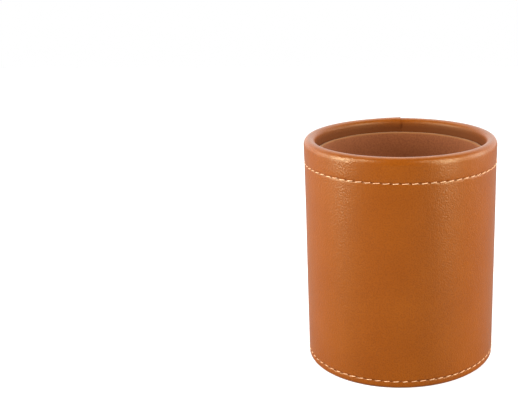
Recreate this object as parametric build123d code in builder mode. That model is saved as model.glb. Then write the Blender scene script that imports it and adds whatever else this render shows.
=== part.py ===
from build123d import *
from math import atan2, cos, degrees, pi, radians, sin, sqrt
import os

# A round desk cup for pens: a leather cover wrapped over a stiff board tube, with a lined sleeve
# inside it. The origin is the centre of the foot, on the table. +Z is up, the front is -Y, and
# the cover's lap seam is at the back, on +Y. All sizes are in millimetres.

# ---------------------------------------------------------------- driving dimensions
outer_diameter = 84.0  # over the leather
cup_height = 100.0  # table to rim
glue_line = 0.1  # film of glue between two layers

cover_leather = 1.2  # thickness of the cover's leather
turn_in_depth = 22.0  # how far the cover reaches down inside the mouth
turn_up_height = 9.0  # how far the cover reaches up inside the foot
foot_corner = 1.0  # corner radius where the cover turns under and up again
skive_length = 5.0  # taper cut on the hidden ends of the cover
skive_edge = 0.4  # leather left at the end of that taper

lap_length = 16.0  # stretch of the cover that rides up over its other end
lap_step = 0.8  # height of the raw edge at the lap
lap_bevel = 0.6  # the raw edge is pared down at the rim and the foot
lap_inset = 0.4  # the lap keeps this far from the round of the rim and of the foot

core_wall = 2.2  # board of the core tube
base_recess = 0.5  # the underside stays this far off the table
base_cover_leather = 0.8
base_board_thickness = 2.5

liner_drop = 6.0  # rim down to the top of the liner
liner_board = 0.6
lining_leather = 0.4  # facing of the liner and of the floor pad
liner_turn_back = 4.0  # how far the facing reaches down behind the liner's board
floor_board = 1.0
floor_clearance = 0.3  # free ring round the floor pad

stitch_pitch = 3.9  # wanted spacing, adjusted to a whole number of stitches
upper_stitch_drop = 10.4  # rim down to the upper row
lower_stitch_rise = 3.2  # table up to the lower row
thread_diameter = 0.5
thread_bend = 0.35  # radius of the thread's centre line where it turns into a slit
stitch_slant = 0.25  # one end of a stitch stands this much higher than the other
slit_length = 1.5  # awl slit that two neighbouring stitches share
slit_clearance = 0.08  # free space round the thread in its slit, crease and groove

# ---------------------------------------------------------------- sizes that follow
outer_radius = outer_diameter / 2
core_outer = outer_radius - cover_leather - glue_line
core_inner = core_outer - core_wall
band_outer = core_inner - glue_line  # the turned-in part of the cover
band_inner = band_outer - cover_leather
rim_roll = (outer_radius - band_inner) / 2  # the rim is a full round
rim_centre = outer_radius - rim_roll
rim_spring = cup_height - rim_roll  # height at which the rim's round starts
core_foot = cover_leather + glue_line

base_radius = band_inner - glue_line
board_foot = base_recess + base_cover_leather + glue_line
board_top = board_foot + base_board_thickness

sleeve_outer = band_inner - glue_line
card_outer = sleeve_outer - lining_leather - glue_line
card_inner = card_outer - liner_board
facing_outer = card_inner - glue_line
facing_inner = facing_outer - lining_leather
sleeve_roll = (sleeve_outer - facing_inner) / 2  # the sleeve's top edge is a full round
sleeve_centre = sleeve_outer - sleeve_roll
sleeve_spring = cup_height - liner_drop - sleeve_roll

floor_radius = facing_inner - floor_clearance
floor_card_foot = board_top + glue_line
floor_lining_foot = floor_card_foot + floor_board + glue_line

thread_radius = thread_diameter / 2
upper_stitch = cup_height - upper_stitch_drop
lower_stitch = lower_stitch_rise
stitch_count = round(pi * outer_diameter / stitch_pitch)
stitch_turn = 360 / stitch_count
leg_reach = pi * outer_radius / stitch_count - slit_length / 2 + thread_radius + slit_clearance
slit_width = thread_diameter + stitch_slant + 2 * slit_clearance
crease_radius = thread_radius + stitch_slant / 2 + 2 * slit_clearance
thread_lock = cover_leather / 2  # the two threads meet in the middle of the leather

# The lap's outside face is part of a smaller circle, which leaves the cover's own circle at
# the end of the lap and stands lap_step proud of it at the raw edge.
lap_turn = lap_length / outer_radius
raw_edge = outer_radius + lap_step
lap_shift = (raw_edge**2 - outer_radius**2) / (2 * (raw_edge - outer_radius * cos(lap_turn)))
lap_radius = raw_edge - lap_shift


# ---------------------------------------------------------------- shared outlines and places
def stitch_spot(angle, height):
    """Place of a needle stitch, with X pointing out of the cover and Y along the row."""
    radius, facing = outer_radius, angle
    on_lap = radians(angle - 90)
    if 0 < on_lap < lap_turn + pi / stitch_count:
        side = lap_shift * sin(on_lap)
        radius = lap_shift * cos(on_lap) + sqrt(lap_radius**2 - side**2)
        facing = degrees(atan2(radius * cos(on_lap) - lap_shift, -radius * sin(on_lap)))
        radius += thread_radius + slit_clearance  # the lap has no crease
    x, y = radius * cos(radians(angle)), radius * sin(radians(angle))
    return Location((x, y, height), (0, 0, facing))


def stitch_spots(height):
    """The middle of every needle stitch of a row."""
    return [stitch_spot(90 + (k + 0.5) * stitch_turn, height) for k in range(stitch_count)]


def ring_spots(radius, height, first_turn):
    """Places spaced as the stitches, on a circle about the cup's axis. X points outwards."""
    turns = [90 + first_turn + k * stitch_turn for k in range(stitch_count)]
    return [Rot(0, 0, turn) * Location((radius, 0, height)) for turn in turns]


# ---------------------------------------------------------------- one stitch of each thread
with BuildPart() as needle_stitch:
    with BuildLine() as needle_path:
        FilletPolyline(
            (-thread_lock + slit_clearance, -leg_reach, -stitch_slant / 2),
            (0, -leg_reach, -stitch_slant / 2),
            (0, leg_reach, stitch_slant / 2),
            (-thread_lock + slit_clearance, leg_reach, stitch_slant / 2),
            radius=thread_bend,
        )
    with BuildSketch(Plane(origin=needle_path.line @ 0, z_dir=needle_path.line % 0)):
        Circle(thread_radius)
    sweep()

with BuildPart() as bobbin_stitch:
    with BuildLine() as bobbin_path:
        FilletPolyline(
            (thread_lock - slit_clearance, -leg_reach, -stitch_slant / 2),
            (-thread_radius - slit_clearance, -leg_reach, -stitch_slant / 2),
            (-thread_radius - slit_clearance, leg_reach, stitch_slant / 2),
            (thread_lock - slit_clearance, leg_reach, stitch_slant / 2),
            radius=thread_bend,
        )
    with BuildSketch(Plane(origin=bobbin_path.line @ 0, z_dir=bobbin_path.line % 0)):
        Circle(thread_radius)
    sweep()

with BuildPart() as slit:
    with BuildSketch(Plane.YZ.offset(-cover_leather - slit_clearance)):
        SlotOverall(slit_length, slit_width)
    extrude(amount=cover_leather + lap_step + thread_diameter)

# ---------------------------------------------------------------- outer cover
# The lap is the part of a slightly shifted disc that stands proud of the cover's outside face.
with BuildPart() as lap:
    with BuildSketch(Plane.XY.offset(foot_corner + lap_inset)):
        with Locations((0, lap_shift)):
            Circle(lap_radius)
    extrude(amount=rim_spring - foot_corner - 2 * lap_inset)
    chamfer(lap.edges().filter_by(GeomType.CIRCLE), length=lap_bevel)
    with BuildSketch():
        reach = 2 * outer_radius
        buried = lap_turn + 2 * lap_step / outer_radius  # the thin end runs in under the surface
        Polygon((0, 0), (0, reach), (-reach * sin(buried), reach * cos(buried)), align=None)
    extrude(amount=cup_height, mode=Mode.INTERSECT)
    with BuildSketch():
        Circle(outer_radius - cover_leather / 2)
    extrude(amount=cup_height, mode=Mode.SUBTRACT)

with BuildPart() as outer_cover:
    with BuildSketch(Plane.XZ):
        with BuildLine():
            outside = outer_radius - cover_leather
            turn_in_end = cup_height - turn_in_depth
            Polyline(
                (band_outer, turn_in_end),
                (band_outer - skive_edge, turn_in_end),
                (band_inner, turn_in_end + skive_length),
                (band_inner, rim_spring),
            )
            RadiusArc((band_inner, rim_spring), (rim_centre, cup_height), rim_roll)
            RadiusArc((rim_centre, cup_height), (outer_radius, rim_spring), rim_roll)
            Line((outer_radius, rim_spring), (outer_radius, foot_corner))
            RadiusArc((outer_radius, foot_corner), (outer_radius - foot_corner, 0), foot_corner)
            Line((outer_radius - foot_corner, 0), (band_inner + foot_corner, 0))
            RadiusArc((band_inner + foot_corner, 0), (band_inner, foot_corner), foot_corner)
            Polyline(
                (band_inner, foot_corner),
                (band_inner, turn_up_height - skive_length),
                (band_outer - skive_edge, turn_up_height),
                (band_outer, turn_up_height),
                (band_outer, cover_leather),
                (outside, cover_leather),
                (outside, rim_spring),
            )
            inner_roll = rim_roll - cover_leather
            RadiusArc((outside, rim_spring), (rim_centre, rim_spring + inner_roll), -inner_roll)
            RadiusArc((rim_centre, rim_spring + inner_roll), (band_outer, rim_spring), -inner_roll)
            Line((band_outer, rim_spring), (band_outer, turn_in_end))
        make_face()
        crease = outer_radius - thread_radius - slit_clearance + crease_radius
        with Locations((crease, upper_stitch), (crease, lower_stitch)):
            Circle(crease_radius, mode=Mode.SUBTRACT)
    revolve(axis=Axis.Z)
    add(lap.part)
    # One slit of each row lies at the lap's raw edge and cuts both of its layers.
    upper_slits = ring_spots(outer_radius, upper_stitch, 0)
    lower_slits = ring_spots(outer_radius, lower_stitch, 0)
    with Locations(*upper_slits, *lower_slits):
        add(slit.part, mode=Mode.SUBTRACT)

# ---------------------------------------------------------------- core tube
with BuildPart() as core_tube:
    with BuildSketch(Plane.XZ):
        with Locations((core_inner, core_foot)):
            Rectangle(core_wall, rim_spring - core_foot, align=(Align.MIN, Align.MIN))
        with Locations((rim_centre, rim_spring)):
            Circle(core_wall / 2)
        with Locations((core_outer, upper_stitch), (core_outer, lower_stitch)):
            Circle(thread_diameter + slit_clearance, mode=Mode.SUBTRACT)
    revolve(axis=Axis.Z)

# ---------------------------------------------------------------- base
with BuildPart() as base_cover:
    with BuildSketch(Plane.XY.offset(base_recess)):
        Circle(base_radius)
    extrude(amount=base_cover_leather)

with BuildPart() as base_board:
    with BuildSketch(Plane.XY.offset(board_foot)):
        Circle(base_radius)
    extrude(amount=base_board_thickness)

# ---------------------------------------------------------------- liner sleeve
with BuildPart() as liner_card:
    with BuildSketch(Plane.XZ):
        with Locations((card_inner, board_top)):
            Rectangle(liner_board, sleeve_spring - board_top, align=(Align.MIN, Align.MIN))
        with Locations((sleeve_centre, sleeve_spring)):
            Circle(liner_board / 2)
    revolve(axis=Axis.Z)

with BuildPart() as liner_facing:
    with BuildSketch(Plane.XZ):
        with Locations((facing_inner, board_top)):
            Rectangle(
                sleeve_outer - facing_inner,
                sleeve_spring - board_top,
                align=(Align.MIN, Align.MIN),
            )
        with Locations((sleeve_centre, sleeve_spring)):
            Circle(sleeve_roll)
            Circle(liner_board / 2 + glue_line, mode=Mode.SUBTRACT)
        with Locations((facing_outer, board_top)):
            Rectangle(
                liner_board + 2 * glue_line,
                sleeve_spring - board_top,
                align=(Align.MIN, Align.MIN),
                mode=Mode.SUBTRACT,
            )
            Rectangle(
                sleeve_outer - facing_outer,
                sleeve_spring - liner_turn_back - board_top,
                align=(Align.MIN, Align.MIN),
                mode=Mode.SUBTRACT,
            )
    revolve(axis=Axis.Z)

# ---------------------------------------------------------------- floor pad
with BuildPart() as floor_card:
    with BuildSketch(Plane.XY.offset(floor_card_foot)):
        Circle(floor_radius)
    extrude(amount=floor_board)

with BuildPart() as floor_lining:
    with BuildSketch(Plane.XY.offset(floor_lining_foot)):
        Circle(floor_radius)
    extrude(amount=lining_leather)

# ---------------------------------------------------------------- threads
with BuildPart() as upper_needle_thread:
    with Locations(*stitch_spots(upper_stitch)):
        add(needle_stitch.part)

with BuildPart() as lower_needle_thread:
    with Locations(*stitch_spots(lower_stitch)):
        add(needle_stitch.part)

cover_back = outer_radius - cover_leather

with BuildPart() as upper_bobbin_thread:
    with Locations(*ring_spots(cover_back, upper_stitch, stitch_turn / 2)):
        add(bobbin_stitch.part)

with BuildPart() as lower_bobbin_thread:
    with Locations(*ring_spots(cover_back, lower_stitch, stitch_turn / 2)):
        add(bobbin_stitch.part)

# ---------------------------------------------------------------- files
pieces = {
    "outer_cover": outer_cover,
    "core_tube": core_tube,
    "base_cover": base_cover,
    "base_board": base_board,
    "liner_card": liner_card,
    "liner_facing": liner_facing,
    "floor_card": floor_card,
    "floor_lining": floor_lining,
    "upper_needle_thread": upper_needle_thread,
    "upper_bobbin_thread": upper_bobbin_thread,
    "lower_needle_thread": lower_needle_thread,
    "lower_bobbin_thread": lower_bobbin_thread,
}
os.makedirs("parts", exist_ok=True)
for name, piece in pieces.items():
    piece.part.label = name
    export_step(piece.part, f"parts/{name}.step")
    print(f"{name}: {len(piece.part.solids())} solids, {piece.part.volume:.1f} mm3")
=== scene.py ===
# %% [markdown]
# # A stitched leather pen cup
# The cup is a stiff board tube that a maker wraps in tan leather. The cover's ends meet in a lap
# at the back, its edges are rolled over the rim and under the foot, and two rows of saddle
# stitches run round it. A thin lined sleeve is pushed in last. The frame holds every piece at its
# real size, so this lesson only gives the pieces their soft shapes and their finishes.

# %% Load the frame
import math

import bpy
import numpy as np
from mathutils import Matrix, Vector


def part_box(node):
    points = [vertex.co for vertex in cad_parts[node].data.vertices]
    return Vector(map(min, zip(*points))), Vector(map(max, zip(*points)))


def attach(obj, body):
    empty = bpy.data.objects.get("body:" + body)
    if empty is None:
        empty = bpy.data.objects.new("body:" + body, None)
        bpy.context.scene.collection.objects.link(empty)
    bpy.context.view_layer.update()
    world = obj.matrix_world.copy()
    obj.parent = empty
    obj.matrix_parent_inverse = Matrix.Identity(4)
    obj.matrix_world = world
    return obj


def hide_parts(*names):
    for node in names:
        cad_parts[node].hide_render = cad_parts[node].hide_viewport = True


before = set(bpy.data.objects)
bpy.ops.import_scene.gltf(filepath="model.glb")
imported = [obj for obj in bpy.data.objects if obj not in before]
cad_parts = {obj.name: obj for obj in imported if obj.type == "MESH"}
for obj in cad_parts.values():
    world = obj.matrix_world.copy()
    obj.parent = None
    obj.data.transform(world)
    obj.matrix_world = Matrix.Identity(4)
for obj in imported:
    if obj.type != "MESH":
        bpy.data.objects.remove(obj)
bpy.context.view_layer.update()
MM = 0.001

# %% [markdown]
# Before any shape is drawn, the sizes are read from the frame: where the rim and the foot are,
# how wide the mouth and the liner are, and how high the two rows of stitches run. The thickness
# of each sheet isn't a box, so it is given here as the real thickness of such leather.

# %% Sizes from the frame
GLUE = 0.1 * MM  # the film of glue between two layers
LEATHER = 1.2 * MM
LINING = 0.4 * MM

cover_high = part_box("outer_cover")[1]
COVER_R = cover_high.x
RIM_Z = cover_high.z
BAND_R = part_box("base_cover")[1].x + GLUE  # inside face of the turned-in leather
RIM_ROLL = (COVER_R - BAND_R) / 2
LAP_STEP = cover_high.y - COVER_R
LAP_TURN = 16 * MM / COVER_R  # the lap rides up over 16 mm

sleeve_low, sleeve_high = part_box("liner_facing")
SLEEVE_R, SLEEVE_TOP, SLEEVE_FOOT = sleeve_high.x, sleeve_high.z, sleeve_low.z
LINER_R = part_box("floor_lining")[1].x + 0.3 * MM  # the floor pad drops in with 0.3 mm to spare

UPPER_Z = sum(corner.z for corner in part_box("upper_needle_thread")) / 2
LOWER_Z = sum(corner.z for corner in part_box("lower_needle_thread")) / 2
STITCH_PITCH = 3.9 * MM
STITCHES = round(2 * math.pi * COVER_R / STITCH_PITCH)
STITCH_TURN = 2 * math.pi / STITCHES
SEAM = math.pi / 2  # the lap's cut edge is at the back, on +Y
print(f"cover {COVER_R / MM:.1f} mm radius, rim {RIM_Z / MM:.1f} mm, {STITCHES} stitches a row")

# %% [markdown]
# Every finish in this lesson is a small tree of nodes, so two helpers come first. One turns the
# colour that a dyer would write down, as an sRGB hex code, into the linear colour that a shader
# expects. The other adds any node, with its settings and its links.

# %% One function for colours, one for nodes
def colour(hex_code):
    """Turn an sRGB hex code such as "C26527" into a linear colour."""
    channels = [int(hex_code[i : i + 2], 16) / 255 for i in (0, 2, 4)]
    linear = [c / 12.92 if c <= 0.04045 else ((c + 0.055) / 1.055) ** 2.4 for c in channels]
    return (*linear, 1.0)


def add(tree, kind, settings=None, links=None):
    """Add a node, set its sockets or properties by name, and link others into its sockets."""
    node = tree.nodes.new("ShaderNode" + kind)
    for name, value in (settings or {}).items():
        if name in node.inputs:
            node.inputs[name].default_value = value
        else:
            setattr(node, name, value)
    for name, source in (links or {}).items():
        tree.links.new(source, node.inputs[name])
    return node


print("the middle of the tan, as a linear colour", colour("8C4508"))

# %% [markdown]
# The cup stands on white paper in a dark room, as in a small studio. The world is that room: dark
# behind the camera, and white behind the cup, which gives the cup's outline its pale edge. The
# camera itself sees plain white wherever it looks past the paper, and that adds no light.

# %% World: white behind the cup, dark in front of it
ROOM_STRENGTH = 1.55
WHITE_FROM = 0.56  # the share of "straight back" at which the room is fully white

world = bpy.data.worlds.new("studio_room")
bpy.context.scene.world = world
world.use_nodes = True
tree = world.node_tree
tree.nodes.clear()
direction = add(tree, "TexCoord")
axes = add(tree, "SeparateXYZ", links={"Vector": direction.outputs["Generated"]})
sweep = add(tree, "MapRange", {"From Max": WHITE_FROM}, {"Value": axes.outputs["Y"]})
lit = add(tree, "Background", {"Strength": ROOM_STRENGTH}, {"Color": sweep.outputs["Result"]})
seen = add(tree, "Background", {"Color": colour("FFFFFF")})
rays = add(tree, "LightPath")
either = add(tree, "MixShader", links={"Fac": rays.outputs["Is Camera Ray"]})
tree.links.new(lit.outputs["Background"], either.inputs[1])
tree.links.new(seen.outputs["Background"], either.inputs[2])
add(tree, "OutputWorld", links={"Surface": either.outputs["Shader"]})
print("world nodes", len(tree.nodes))

# %% [markdown]
# Satin leather is lit with tall, narrow strips, one on each side. They give the soft upright glow
# left and right of a deeper middle. Two low strips higher up put the highlight on the rolled rim,
# two square panels light the sides, and one panel behind lights the back and the mouth.

# %% Lamps: strips for the glow, panels for the rest
def softbox(name, azimuth, elevation, distance, size, watts):
    """A soft panel that faces the cup's middle. Azimuth 0 is in front of the cup, on -Y."""
    turn, rise = math.radians(azimuth), math.radians(elevation)
    place = (
        distance * math.sin(turn) * math.cos(rise),
        -distance * math.cos(turn) * math.cos(rise),
        RIM_Z / 2 + distance * math.sin(rise),
    )
    light = bpy.data.lights.new(name, "AREA")
    light.shape = "RECTANGLE"
    light.size, light.size_y = size
    light.energy = watts
    lamp = bpy.data.objects.new(name, light)
    lamp.location = place
    lamp.rotation_euler = (math.pi / 2 - rise, 0, turn)
    bpy.context.scene.collection.objects.link(lamp)
    return lamp


TALL_STRIP, LOW_STRIP, SIDE_PANEL, BACK_PANEL = (0.12, 0.5), (0.35, 0.12), (0.42, 0.42), (0.9, 0.6)
LAMPS = [
    softbox("strip_left", -70, 13, 0.9, TALL_STRIP, 10.0),
    softbox("strip_right", 56, 13, 0.9, TALL_STRIP, 7.8),
    softbox("high_left", -50, 36, 0.9, LOW_STRIP, 3.2),
    softbox("high_right", 44, 36, 0.9, LOW_STRIP, 2.6),
    softbox("fill_left", -97, 12, 0.9, SIDE_PANEL, 2.2),
    softbox("fill_right", 97, 12, 0.9, SIDE_PANEL, 3.8),
    softbox("panel_behind", 180, 60, 1.0, BACK_PANEL, 3.0),
]
print("lamps", [lamp.name for lamp in LAMPS])

# %% [markdown]
# The camera stands 40 cm in front of the cup, with its eye a hand's breadth above the rim, and
# looks a little down, so that the mouth shows as a narrow oval. The lens is shifted sideways,
# because the cup stands right of the middle.

# %% Camera
EYE_BACK, EYE_HEIGHT = 396.92 * MM, 186.8 * MM
EYE_TIP = 0.2842  # radians below level

camera_data = bpy.data.cameras.new("camera")
camera = bpy.data.objects.new("camera", camera_data)
bpy.context.scene.collection.objects.link(camera)
bpy.context.scene.camera = camera
camera_data.sensor_width = 36
camera_data.lens = 64.67
camera_data.shift_x = -0.2733
camera.location = (0, -EYE_BACK, EYE_HEIGHT)
camera.rotation_euler = (math.pi / 2 - EYE_TIP, 0, 0)
bpy.context.scene.view_settings.view_transform = "Standard"
print(f"camera {EYE_BACK / MM:.0f} mm away, tipped {math.degrees(EYE_TIP):.1f} degrees down")

# %% [markdown]
# The floor is a sheet of matt white paper. What the camera sees is part paper and part glow. The
# paper takes the cup's soft shadow, but this much glow lifts all of it to plain white, shadow
# included. A glow of about 0.2 would let the shadow show. Every other ray meets a dimmer paper,
# so that the satin leather doesn't mirror a bright floor and turn milky.

# %% Floor: plain white paper
FLOOR_SIZE = 1.8
PAPER_GLOW = 0.65


def matt_white_paper():
    made = bpy.data.materials.new("matt_white_paper_sweep")
    made.use_nodes = True
    tree = made.node_tree
    tree.nodes.clear()
    paper = add(tree, "BsdfDiffuse", {"Color": colour("BCBCBC")})  # reflects half of the light
    dim_paper = add(tree, "BsdfDiffuse", {"Color": colour("959595")})  # reflects under a third
    white = add(tree, "Emission", {"Color": colour("FFFFFF"), "Strength": PAPER_GLOW})
    both = add(tree, "AddShader")
    tree.links.new(paper.outputs["BSDF"], both.inputs[0])
    tree.links.new(white.outputs["Emission"], both.inputs[1])
    rays = add(tree, "LightPath")
    chosen = add(tree, "MixShader", links={"Fac": rays.outputs["Is Camera Ray"]})
    tree.links.new(dim_paper.outputs["BSDF"], chosen.inputs[1])
    tree.links.new(both.outputs["Shader"], chosen.inputs[2])
    add(tree, "OutputMaterial", links={"Surface": chosen.outputs["Shader"]})
    return made


half = FLOOR_SIZE / 2
corners = [(-half, -half, 0), (half, -half, 0), (half, half, 0), (-half, half, 0)]
floor_mesh = bpy.data.meshes.new("floor")
floor_mesh.from_pydata(corners, [], [(0, 1, 2, 3)])
floor_mesh.materials.append(matt_white_paper())
floor = bpy.data.objects.new("floor", floor_mesh)
bpy.context.scene.collection.objects.link(floor)
print("floor", FLOOR_SIZE, "m square")

# %% [markdown]
# Each finish starts from what the real material is and how its surface was made. Natural things
# are never one flat tone, so most finishes here are two tones of one dye, spread by a pattern.
# The patterns are fixed to the piece, and their scales are worked out from real sizes.

# %% Helpers for materials
def new_material(name):
    made = bpy.data.materials.new(name)
    made.use_nodes = True
    tree = made.node_tree
    tree.nodes.clear()
    place = add(tree, "TexCoord").outputs["Object"]
    return made, tree, place


def per_metre(size_mm):
    """The texture scale at which one cell or wave is size_mm wide."""
    return 1 / (size_mm * MM)


def mottle(tree, pattern, dark, light, low=0.3, high=0.7):
    """Two tones of one dye, spread by a pattern that runs mostly from low to high."""
    share = add(tree, "MapRange", {"From Min": low, "From Max": high}, {"Value": pattern})
    tones = {"data_type": "RGBA", "A": colour(dark), "B": colour(light)}
    return add(tree, "Mix", tones, {"Factor": share.outputs["Result"]}).outputs["Result"]


def finish_material(tree, shader):
    add(tree, "OutputMaterial", links={"Surface": shader.outputs["BSDF"]})


print("a 0.65 mm pore is a texture scale of", round(per_metre(0.65)))

# %% [markdown]
# The cover is **vegetable-tanned cowhide**, dyed tan and finished smooth with a little wax. That
# gives the eye a satin shine, fine pores that hold more of the dye, and a few soft creases. It is
# drawn matt where a stitch pulls it in and inside the mouth, and there painted shade darkens it:
# in the awl holes, along the stitch creases and down inside the mouth.
# The pores are drawn at 0.65 mm, coarser than the real 0.3 mm, because finer ones wouldn't show.

# %% Material: smooth tan leather
def smooth_tan_leather():
    made, tree, place = new_material("smooth_tan_cowhide")
    clouds = add(tree, "TexNoise", {"Scale": per_metre(22), "Detail": 4.0}, {"Vector": place})
    tan = mottle(tree, clouds.outputs["Fac"], "894307", "8F4809")

    pores = add(tree, "TexVoronoi", {"Scale": per_metre(0.65)}, {"Vector": place})
    from_pore = pores.outputs["Distance"]
    fade = {"From Max": 0.6, "To Min": 0.4, "To Max": 0.0}  # darkest in the middle of a pore
    in_pore = add(tree, "MapRange", fade, {"Value": from_pore}).outputs["Result"]
    # Painted shade: this share darkens the tan in the awl holes, along the stitch creases and
    # inside the mouth. The same share also makes the leather matt there.
    painted_shade_and_matt = add(tree, "Attribute", {"attribute_name": "painted_shade_and_matt"}).outputs["Fac"]
    dark_dye_and_painted_shade = {"data_type": "RGBA", "B": colour("5C2603")}
    dyed = add(tree, "Mix", dark_dye_and_painted_shade, {"Factor": in_pore, "A": tan}).outputs["Result"]
    tan_with_painted_shade = add(tree, "Mix", dark_dye_and_painted_shade, {"Factor": painted_shade_and_matt, "A": dyed}).outputs["Result"]

    crease_look = {"Scale": per_metre(1.5), "Detail": 3.0, "Roughness": 0.6}
    creases = add(tree, "TexNoise", crease_look, {"Vector": place}).outputs["Fac"]
    pore_bump = add(tree, "Bump", {"Distance": 0.065 * MM}, {"Height": from_pore})
    skin_links = {"Height": creases, "Normal": pore_bump.outputs["Normal"]}
    skin_bump = add(tree, "Bump", {"Strength": 0.3, "Distance": 0.05 * MM}, skin_links)

    # Waxed leather has a roughness of about 0.3, and unpolished leather about 0.8.
    waxed = add(tree, "MapRange", {"To Min": 0.28, "To Max": 0.37}, {"Value": creases})
    satin_links = {"Factor": painted_shade_and_matt, "A": waxed.outputs["Result"]}
    satin = add(tree, "Mix", {"data_type": "FLOAT", "B": 0.8}, satin_links)
    shader = add(
        tree,
        "BsdfPrincipled",
        {"IOR": 1.5, "Specular Tint": colour("FFE8B4")},  # the wax is a little yellow
        {
            "Base Color": tan_with_painted_shade,
            "Roughness": satin.outputs["Result"],
            "Normal": skin_bump.outputs["Normal"],
        },
    )
    finish_material(tree, shader)
    return made


tan_leather = smooth_tan_leather()
print("cover finish", tan_leather.name)

# %% [markdown]
# Where a knife cut the hide, at the lap's edge, the **bare fibres** show. They took less dye than
# the face and nobody burnished them, so they are paler and quite matt.

# %% Material: cut edge of the leather
def cut_leather_edge():
    made, tree, place = new_material("cut_leather_edge")
    fibres = add(tree, "TexNoise", {"Scale": per_metre(0.5), "Detail": 3.0}, {"Vector": place})
    pale = mottle(tree, fibres.outputs["Fac"], "C98A55", "E4B080")
    bump = add(tree, "Bump", {"Distance": 0.1 * MM}, {"Height": fibres.outputs["Fac"]})
    links = {"Base Color": pale, "Normal": bump.outputs["Normal"]}
    finish_material(tree, add(tree, "BsdfPrincipled", {"Roughness": 0.85}, links))
    return made


cut_edge = cut_leather_edge()
print("edge finish", cut_edge.name)

# %% [markdown]
# The liner is a **thin split leather** with a short brushed nap, browner than the cover. Its
# folded top edge is drawn a paler gold. The underside is **suede**, which is a split leather too,
# with a finer nap. A nap scatters light, so both are matt and have a faint sheen. The naps are
# drawn coarser than real fibres, which wouldn't show.

# %% Materials: lining and suede
def brushed_split_leather(name, dark, light, nap_mm, edge=None):
    made, tree, place = new_material(name)
    nap_look = {"Scale": per_metre(nap_mm), "Detail": 4.0, "Roughness": 0.7}
    nap = add(tree, "TexNoise", nap_look, {"Vector": place}).outputs["Fac"]
    surface = mottle(tree, nap, dark, light)
    if edge:
        # The lip, the folded top edge, is drawn a paler gold.
        pale_lip = add(tree, "Attribute", {"attribute_name": "pale_lip"}).outputs["Fac"]
        gold = {"data_type": "RGBA", "B": colour(edge)}
        links = {"Factor": pale_lip, "A": surface}
        surface = add(tree, "Mix", gold, links).outputs["Result"]
    bump = add(tree, "Bump", {"Strength": 0.5, "Distance": 0.1 * MM}, {"Height": nap})
    matt = {"Roughness": 0.75, "Sheen Weight": 0.15, "Specular IOR Level": 0.3}
    links = {"Base Color": surface, "Normal": bump.outputs["Normal"]}
    finish_material(tree, add(tree, "BsdfPrincipled", matt, links))
    return made


lining = brushed_split_leather("brushed_lining_leather", "7C421A", "985529", 0.8, "96602F")
suede = brushed_split_leather("brown_suede", "54341F", "6B452B", 0.6)
print("lining finishes", lining.name, suede.name)

# %% [markdown]
# The thread is **twisted polyester**, dyed a pale apricot. Its plies are smooth filaments, so it
# is a little shinier than cotton would be, and its tone changes every 0.8 mm, from one ply to the
# next. The hidden boards are **pressed greyboard**, which is recycled pulp: grey, speckled and
# dead matt. These hidden nodes keep their own shape.

# %% Materials: thread and greyboard
def twisted_polyester():
    made, tree, place = new_material("twisted_polyester_thread")
    plies = add(tree, "TexNoise", {"Scale": per_metre(0.8), "Detail": 2.0}, {"Vector": place})
    apricot = mottle(tree, plies.outputs["Fac"], "E0A672", "F0C494")
    silky = {"Roughness": 0.5, "Sheen Weight": 0.2}
    finish_material(tree, add(tree, "BsdfPrincipled", silky, {"Base Color": apricot}))
    return made


def pressed_greyboard():
    made, tree, place = new_material("pressed_greyboard")
    pulp = add(tree, "TexNoise", {"Scale": per_metre(1.2), "Detail": 6.0}, {"Vector": place})
    speckled = mottle(tree, pulp.outputs["Fac"], "8F8A80", "A8A297", 0.35, 0.65)
    finish_material(tree, add(tree, "BsdfPrincipled", {"Roughness": 0.9}, {"Base Color": speckled}))
    return made


thread = twisted_polyester()
greyboard = pressed_greyboard()
HIDDEN_NODES = {
    "core_tube": greyboard,
    "base_board": greyboard,
    "liner_card": greyboard,
    "floor_card": greyboard,
    "upper_bobbin_thread": thread,
    "lower_bobbin_thread": thread,
}
for node_name, finish in HIDDEN_NODES.items():
    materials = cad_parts[node_name].data.materials
    materials.clear()
    materials.append(finish)
print("nodes that keep their shape", list(HIDDEN_NODES))

# %% [markdown]
# The cover and the liner are sheets that run round the axis. So one helper makes both of them:
# it takes the sheet's face and back as rings of points, one ring per step of the turn, and
# closes them into a solid with real thickness. A sheet that goes all the way round joins up
# with itself, and one that has two ends gets a cut edge at each.

# %% Helpers: a piece, and a sheet that runs round the axis
def soft_step(value):
    """Rises smoothly from 0 to 1 as value does."""
    value = np.clip(value, 0, 1)
    return value * value * (3 - 2 * value)


def run(start, end, step):
    """Evenly spaced values from start towards end, without the end."""
    count = max(1, round(abs(end - start) / step))
    return list(np.linspace(start, end, count, endpoint=False))


def soft_piece(name, points, faces, finishes):
    """A smooth mesh that rides on the cup's one body."""
    mesh = bpy.data.meshes.new(name)
    mesh.from_pydata(points, [], faces)
    for finish in finishes:
        mesh.materials.append(finish)
    mesh.polygons.foreach_set("use_smooth", np.ones(len(faces), bool))
    piece = bpy.data.objects.new(name, mesh)
    bpy.context.scene.collection.objects.link(piece)
    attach(piece, "root")
    print(f"{name}: {len(points)} points, {len(faces)} faces")
    return piece


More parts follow.
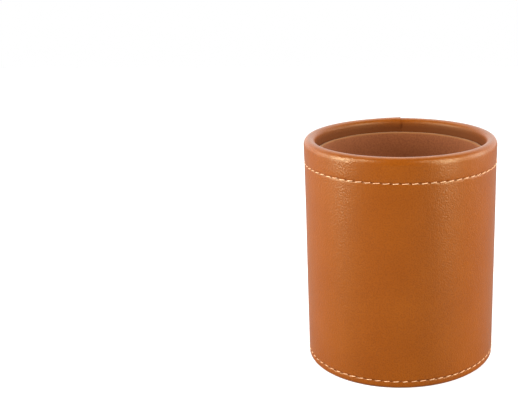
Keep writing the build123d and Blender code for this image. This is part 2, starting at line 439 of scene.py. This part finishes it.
def sheet_round(name, turns, face, back, joined, finishes):
    """face and back are (turns, stations, 2) arrays of radius and height."""
    outline = np.concatenate([face, back[:, ::-1]], axis=1)
    steps, width = outline.shape[:2]
    radius, height = outline[..., 0], outline[..., 1]
    angle = np.asarray(turns)[:, None] + SEAM
    points = np.stack([radius * np.cos(angle), radius * np.sin(angle), height], axis=-1)
    i = np.arange(steps if joined else steps - 1)[:, None]
    j = np.arange(width)[None, :]
    after, beside = (i + 1) % steps, (j + 1) % width
    quads = np.stack(
        [i * width + j, i * width + beside, after * width + beside, after * width + j], axis=-1
    )
    faces = quads.reshape(-1, 4).tolist()
    edge_from = len(faces)
    if not joined:
        last = (steps - 1) * width
        for k in range(face.shape[1] - 1):
            far = width - 1 - k
            faces.append([far, far - 1, k + 1, k])
            faces.append([last + k, last + k + 1, last + far - 1, last + far])
    piece = soft_piece(name, points.reshape(-1, 3).tolist(), faces, finishes)
    finish_index = np.zeros(len(faces), np.int32)
    finish_index[edge_from:] = 1  # the cut edges take the second finish
    piece.data.polygons.foreach_set("material_index", finish_index)
    piece.data.validate()
    piece.data.set_sharp_from_angle(angle=math.radians(50))
    return piece


def point_values(piece, name, values):
    """Store one number per point, for the material to read."""
    attribute = piece.data.attributes.new(name, "FLOAT", "POINT")
    attribute.data.foreach_set("value", np.asarray(values, np.float32).ravel())


print("a soft step a quarter of the way along", soft_step(0.25))

# %% [markdown]
# The cover's section is a long letter C: up the inside of the mouth, over the rolled rim, down
# the wall, round the foot and a little way up inside. Stations stand close together where the
# leather bends or where a stitch pulls on it, and far apart on the plain wall.

# %% Section of the cover
TURN_IN_END = RIM_Z - 22 * MM
TURN_UP_END = 9 * MM
FOOT_CORNER = 1.3 * MM
STITCH_ZONE = 2 * MM  # above and below a row, where the leather gives way
RIM_MID_R, RIM_MID_Z = COVER_R - RIM_ROLL, RIM_Z - RIM_ROLL


def corner_rows(middle_r, bends):
    """Stations round a corner of the foot."""
    rows = []
    for bend in bends:
        out_r, out_z = math.cos(bend), -math.sin(bend)
        rows.append((middle_r + FOOT_CORNER * out_r, FOOT_CORNER * (1 + out_z), out_r, out_z))
    return rows


def cover_section():
    """Stations as radius, height and the direction that the face looks in."""
    rows = [(BAND_R, z, -1, 0) for z in run(TURN_IN_END, RIM_MID_Z, 1.5 * MM)]
    for bend in run(math.pi, 0, math.pi / 18):
        out_r, out_z = math.cos(bend), math.sin(bend)
        rows.append((RIM_MID_R + RIM_ROLL * out_r, RIM_MID_Z + RIM_ROLL * out_z, out_r, out_z))
    upper_zone = [UPPER_Z + STITCH_ZONE, UPPER_Z - STITCH_ZONE]
    wall = [RIM_MID_Z, *upper_zone, LOWER_Z + STITCH_ZONE, FOOT_CORNER]
    for top, bottom, step in zip(wall, wall[1:], [1.0, 0.25, 3.0, 0.25]):
        rows += [(COVER_R, z, 1, 0) for z in run(top, bottom, step * MM)]
    outer, inner = COVER_R - FOOT_CORNER, BAND_R + FOOT_CORNER
    rows += corner_rows(outer, run(0, math.pi / 2, math.pi / 12))
    rows += [(r, 0, 0, -1) for r in run(outer, inner, 0.8 * MM)]
    rows += corner_rows(inner, run(math.pi / 2, math.pi, math.pi / 12))
    rows += [(BAND_R, z, -1, 0) for z in run(FOOT_CORNER, TURN_UP_END, 1.5 * MM)]
    return np.array(rows)


section = cover_section()
print("stations in the section", len(section))

# %% [markdown]
# The leather isn't a perfect tube. Each stitch pulls a short crease into it, deepest at the awl
# holes, and the strip between the stitches and the rim stays a little puffed. Where the hide was
# glued by hand it waves by a few hundredths of a millimetre. At the back, the cut end climbs
# over the other end and stands proud.

# %% Waves, creases, awl holes and the lap
def hand_waves(turns, heights, size, seed):
    """A few slow waves round and up the cup, the same on every run."""
    rng = np.random.default_rng(seed)
    count = 7
    total = np.zeros(np.broadcast(turns, heights).shape)
    for _ in range(count):
        around, phase = rng.integers(1, 7), rng.uniform(0, 2 * math.pi)
        up = rng.uniform(-90, 90)
        total += np.sin(around * turns + up * heights + phase)
    return size * total / count


def lap_rise(turns):
    """How far the lap stands proud at each turn: the whole step at its raw edge, then less."""
    left = np.clip(1 - turns / LAP_TURN, 0, 1)
    return LAP_STEP * left * (0.65 + 0.35 * left)


def hole_pull(turns, heights, row_z):
    """1 in an awl hole, fading to 0 within a millimetre of it."""
    nearest = np.round(turns / STITCH_TURN) * STITCH_TURN
    along = (turns - nearest) * COVER_R / (0.45 * MM)
    across = (heights - row_z) / (0.35 * MM)
    return np.exp(-(along**2) - across**2)


def crease_pull(heights, row_z):
    """1 on the line of a row of stitches, fading to 0 within a millimetre of it."""
    return np.exp(-(((heights - row_z) / (0.5 * MM)) ** 2))


print(f"the lap stands {lap_rise(0) / MM:.2f} mm proud at its cut edge")

# %% Cover: one ring for each turn, and what pulls on it
UNDERLAP = 1.85 * STITCH_TURN  # the covered end runs on for about 7 mm under the lap
STITCH_SHARES = np.array([0, 0.09, 0.2, 0.5, 0.8, 0.91])  # close together at the awl holes

stitch_starts = np.arange(STITCHES + 2)[:, None]
cover_turns = ((stitch_starts + STITCH_SHARES) * STITCH_TURN).reshape(-1, 1)
cover_turns = cover_turns[cover_turns[:, 0] < 2 * math.pi + UNDERLAP]
r_now, z_now, out_r, out_z = (section[None, :, column] for column in range(4))

on_wall = (r_now > RIM_MID_R) & (out_r > 0.99)
on_foot = out_z < -0.99
holes = hole_pull(cover_turns, z_now, UPPER_Z) + hole_pull(cover_turns, z_now, LOWER_Z)
holes = np.where(on_wall, holes, 0)
creases = np.where(on_wall, crease_pull(z_now, UPPER_Z) + crease_pull(z_now, LOWER_Z), 0)
puff = soft_step((z_now - UPPER_Z) / (3 * MM)) * soft_step((RIM_Z - z_now) / (2.5 * MM))
puff = np.where(on_wall, puff, 0)
waves = hand_waves(cover_turns, z_now, 0.1 * MM, 5) * soft_step(z_now / (4 * MM))
print("rings", len(cover_turns), "deepest wave", f"{abs(waves).max() / MM:.2f} mm")

# %% [markdown]
# The lap is full height on the wall, half as high over the rim, and pressed flat inside the mouth
# and at the foot. It is skived on its back, so that it lies on the covered end without a hollow.
# The covered end lies a hair lower than the rest, so that no two faces share one place.

# %% Cover: face and back
PUFF, CREASE, HOLE, TUCK = 0.1 * MM, 0.12 * MM, 0.35 * MM, 0.06 * MM
THINNEST = 0.08 * MM  # a skived edge is never quite nothing

depth_inside = soft_step((RIM_Z - z_now) / (6 * MM))
lap_share = np.where(r_now > RIM_MID_R, 1.0, 1.0 - 0.9 * depth_inside)
lap_share = lap_share * soft_step(z_now / (1.2 * MM)) * (1 - 0.5 * np.clip(out_z, 0, 1))
tucked = TUCK * (cover_turns > 2 * math.pi - STITCH_TURN / 20)
lift = lap_rise(cover_turns) * lap_share + waves
lift = lift + PUFF * puff - CREASE * creases - HOLE * holes - tucked
lift = np.where(on_foot, -tucked, lift)  # the foot stays flat

past_underlap = (cover_turns - UNDERLAP) / (LAP_TURN - UNDERLAP)
thickness = LEATHER * soft_step(past_underlap)
back_lift = np.minimum(waves - thickness, lift - THINNEST)
back_lift = np.where(on_foot, np.minimum(-thickness, -THINNEST), back_lift)

place, normal = section[None, :, :2], section[None, :, 2:]
face = place + lift[..., None] * normal
back = place + back_lift[..., None] * normal
finishes = [tan_leather, cut_edge]
cover = sheet_round("leather_cover", cover_turns[:, 0], face, back, False, finishes)
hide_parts("outer_cover")

# %% Cover: painted shade and matt leather at the holes, the creases and inside the mouth
# Painted shade: the tan is darkened inside the mouth, in the awl holes and along the stitch
# creases, and the same share makes the leather matt.
inside = 0.85 * soft_step((RIM_Z - 0.5 * MM - z_now) / (3 * MM)) * (r_now < RIM_MID_R)
painted_shade_and_matt = np.clip(0.6 * holes + 0.08 * creases + inside, 0, 1)
point_values(cover, "painted_shade_and_matt", np.concatenate([painted_shade_and_matt, np.zeros_like(painted_shade_and_matt)], axis=1))
print("points pulled in by more than half", int((painted_shade_and_matt > 0.5).sum()))

# %% [markdown]
# A stitch is a short piece of three-ply thread. It comes up out of one hole, lies along the
# crease, and dives into the next. Plies twist round each other, so the section is a clover leaf
# that turns as it goes. Hand work shows in small differences of length and place. The few
# stitches that cross the lap climb it, and the lower row lies deeper in its crease.

# %% One stitch
THREAD_R = 0.17 * MM
PLY_TWIST = 2.4 * MM  # one full twist of the plies
PLY_SIDES = 12
PATH_STEPS = 18
STITCH_REACH = 1.2 * MM  # half of what shows of a stitch
STITCH_DEPTH, STITCH_CROWN = 0.75 * MM, 0.8 * MM
STITCH_SLANT = 0.13 * MM


def stitch_rings():
    """Rings of points round the thread, as outward, along and up.

    The powers below 1 flatten the arch, so the thread lies along the leather and dives steeply.
    """
    swing = np.linspace(0, math.pi, PATH_STEPS)
    along = -STITCH_REACH * np.sign(np.cos(swing)) * np.abs(np.cos(swing)) ** 0.55
    outward = -STITCH_DEPTH + STITCH_CROWN * np.sin(swing) ** 0.5
    path = np.stack([outward, along, STITCH_SLANT * along / STITCH_REACH], axis=-1)
    tangent = np.gradient(path, axis=0)
    tangent /= np.linalg.norm(tangent, axis=1)[:, None]
    across = np.cross(tangent, [0, 0, 1.0])
    across /= np.linalg.norm(across, axis=1)[:, None]
    other = np.cross(across, tangent)
    step_lengths = np.linalg.norm(np.diff(path, axis=0), axis=1)
    length = np.concatenate([[0], np.cumsum(step_lengths)])[:, None]
    spin = np.linspace(0, 2 * math.pi, PLY_SIDES, endpoint=False)
    radius = THREAD_R * (0.9 + 0.13 * np.cos(3 * (spin - 2 * math.pi * length / PLY_TWIST)))
    ring = np.cos(spin)[:, None] * across[:, None] + np.sin(spin)[:, None] * other[:, None]
    return path[:, None] + radius[..., None] * ring


def stitch_faces():
    """Quads round the thread, and a cap on each end."""
    faces = []
    for a in range(0, (PATH_STEPS - 1) * PLY_SIDES, PLY_SIDES):
        b = a + PLY_SIDES
        for j in range(PLY_SIDES):
            n = (j + 1) % PLY_SIDES
            faces.append([a + j, b + j, b + n, a + n])
    end = (PATH_STEPS - 1) * PLY_SIDES
    faces.append(list(range(PLY_SIDES)))
    faces.append([end + j for j in reversed(range(PLY_SIDES))])
    return faces


one_stitch, one_faces = stitch_rings(), stitch_faces()
print("faces in one stitch", len(one_faces))


# %% Two rows of stitches
HAND_TURN, HAND_HEIGHT = 0.0006, 0.02 * MM  # how far a stitch strays, in radians and in height


def stitch_row(name, row_z, seed, sunk):
    rng = np.random.default_rng(seed)
    points, faces = [], []
    for k in range(STITCHES):
        turn = (k + 0.5) * STITCH_TURN
        angle = turn + SEAM + rng.normal(0, HAND_TURN)
        local = one_stitch * np.array([1, rng.uniform(0.97, 1.03), 1])
        radial = COVER_R + lap_rise(turn) - sunk + local[..., 0]
        x = radial * math.cos(angle) - local[..., 1] * math.sin(angle)
        y = radial * math.sin(angle) + local[..., 1] * math.cos(angle)
        z = row_z + local[..., 2] + rng.normal(0, HAND_HEIGHT)
        faces += [[len(points) + corner for corner in face] for face in one_faces]
        points += np.stack([x, y, z], axis=-1).reshape(-1, 3).tolist()
    return soft_piece(name, points, faces, [thread])


upper_row = stitch_row("upper_stitching", UPPER_Z, 11, 0)
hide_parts("upper_needle_thread")
lower_row = stitch_row("lower_stitching", LOWER_Z, 12, 0.1 * MM)
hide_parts("lower_needle_thread")

# %% [markdown]
# The liner is a card sleeve faced with thin leather. The facing is folded over the card's top
# edge and a few millimetres down its back, which hides the card and gives the soft round lip.

# %% Liner facing
SLEEVE_ROLL = (SLEEVE_R - LINER_R) / 2
LIP_R, LIP_Z = SLEEVE_R - SLEEVE_ROLL, SLEEVE_TOP - SLEEVE_ROLL
FOLDED_DOWN = 4 * MM
LINER_STEPS = 288


def liner_section():
    rows = [(LINER_R, z, -1, 0) for z in run(SLEEVE_FOOT, LIP_Z, 2 * MM)]
    for bend in run(math.pi, 0, math.pi / 12):
        out_r, out_z = math.cos(bend), math.sin(bend)
        rows.append((LIP_R + SLEEVE_ROLL * out_r, LIP_Z + SLEEVE_ROLL * out_z, out_r, out_z))
    rows += [(SLEEVE_R, z, 1, 0) for z in run(LIP_Z, LIP_Z - FOLDED_DOWN, 1 * MM)]
    return np.array(rows)[None]


liner_rows = liner_section()
liner_z, liner_normal = liner_rows[..., 1], liner_rows[..., 2:]
liner_turns = np.linspace(0, 2 * math.pi, LINER_STEPS, endpoint=False)
liner_wave = -np.abs(hand_waves(liner_turns[:, None], liner_z, 0.15 * MM, 8))
liner_face = liner_rows[..., :2] + liner_wave[..., None] * liner_normal
liner_back = np.broadcast_to(liner_rows[..., :2] - LINING * liner_normal, liner_face.shape)
liner = sheet_round("liner_sleeve", liner_turns, liner_face, liner_back, True, [lining])
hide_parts("liner_facing")

# How much of the paler gold each point of the lip takes.
lip = soft_step((liner_z - (LIP_Z - 0.1 * MM)) / (0.6 * MM))
lip = np.broadcast_to(lip, liner_face.shape[:2])
point_values(liner, "pale_lip", np.concatenate([lip, lip], axis=1))

# %% [markdown]
# Two soft discs are left: the lining on the floor pad, and the suede under the foot. Each is a
# thin sheet with a rounded upper edge, and its upper face sinks by about a tenth of a millimetre.

# %% Floor lining and underside suede
DISC_TURNS = 144
DISC_RINGS = 16


def soft_disc(name, node_name, finish, dome, seed):
    low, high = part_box(node_name)
    radius = high.x
    edge = 0.45 * (high.z - low.z)  # the radius of the rounded edge
    bends = np.array(run(0, math.pi / 2, math.pi / 8))
    flat_radii = np.linspace(0.08, 0.97, DISC_RINGS) * (radius - edge)
    radii = np.concatenate([flat_radii, radius - edge + edge * np.sin(bends)])
    heights = np.concatenate([np.full(DISC_RINGS, high.z), high.z - edge + edge * np.cos(bends)])
    turns = np.linspace(0, 2 * math.pi, DISC_TURNS, endpoint=False)[:, None]
    inward = 1 - (radii / radius) ** 4
    top = heights - (np.abs(hand_waves(turns, radii, 0.1 * MM, seed)) + dome) * inward
    side = np.full((DISC_TURNS, 1), (low.z + high.z) / 2)
    bottom = np.full(top.shape, low.z)

    outline_r = np.concatenate([radii, [radius], radii[::-1]])
    outline_z = np.concatenate([top, side, bottom], axis=1)
    x, y = outline_r * np.cos(turns), outline_r * np.sin(turns)
    points = np.stack([x, y, outline_z], axis=-1).reshape(-1, 3).tolist()
    middle_top, middle_bottom = len(points), len(points) + 1
    points += [(0, 0, float(top[:, 0].mean())), (0, 0, low.z)]
    width, faces = len(outline_r), []
    for i in range(DISC_TURNS):
        here, after = i * width, (i + 1) % DISC_TURNS * width
        faces += [(here + j, here + j + 1, after + j + 1, after + j) for j in range(width - 1)]
        faces.append((middle_top, here, after))
        faces.append((middle_bottom, after + width - 1, here + width - 1))
    return soft_piece(name, points, faces, [finish])


pad = soft_disc("floor_pad", "floor_lining", lining, 0.05 * MM, 21)
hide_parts("floor_lining")
underside = soft_disc("underside_suede", "base_cover", suede, 0.0, 22)
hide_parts("base_cover")
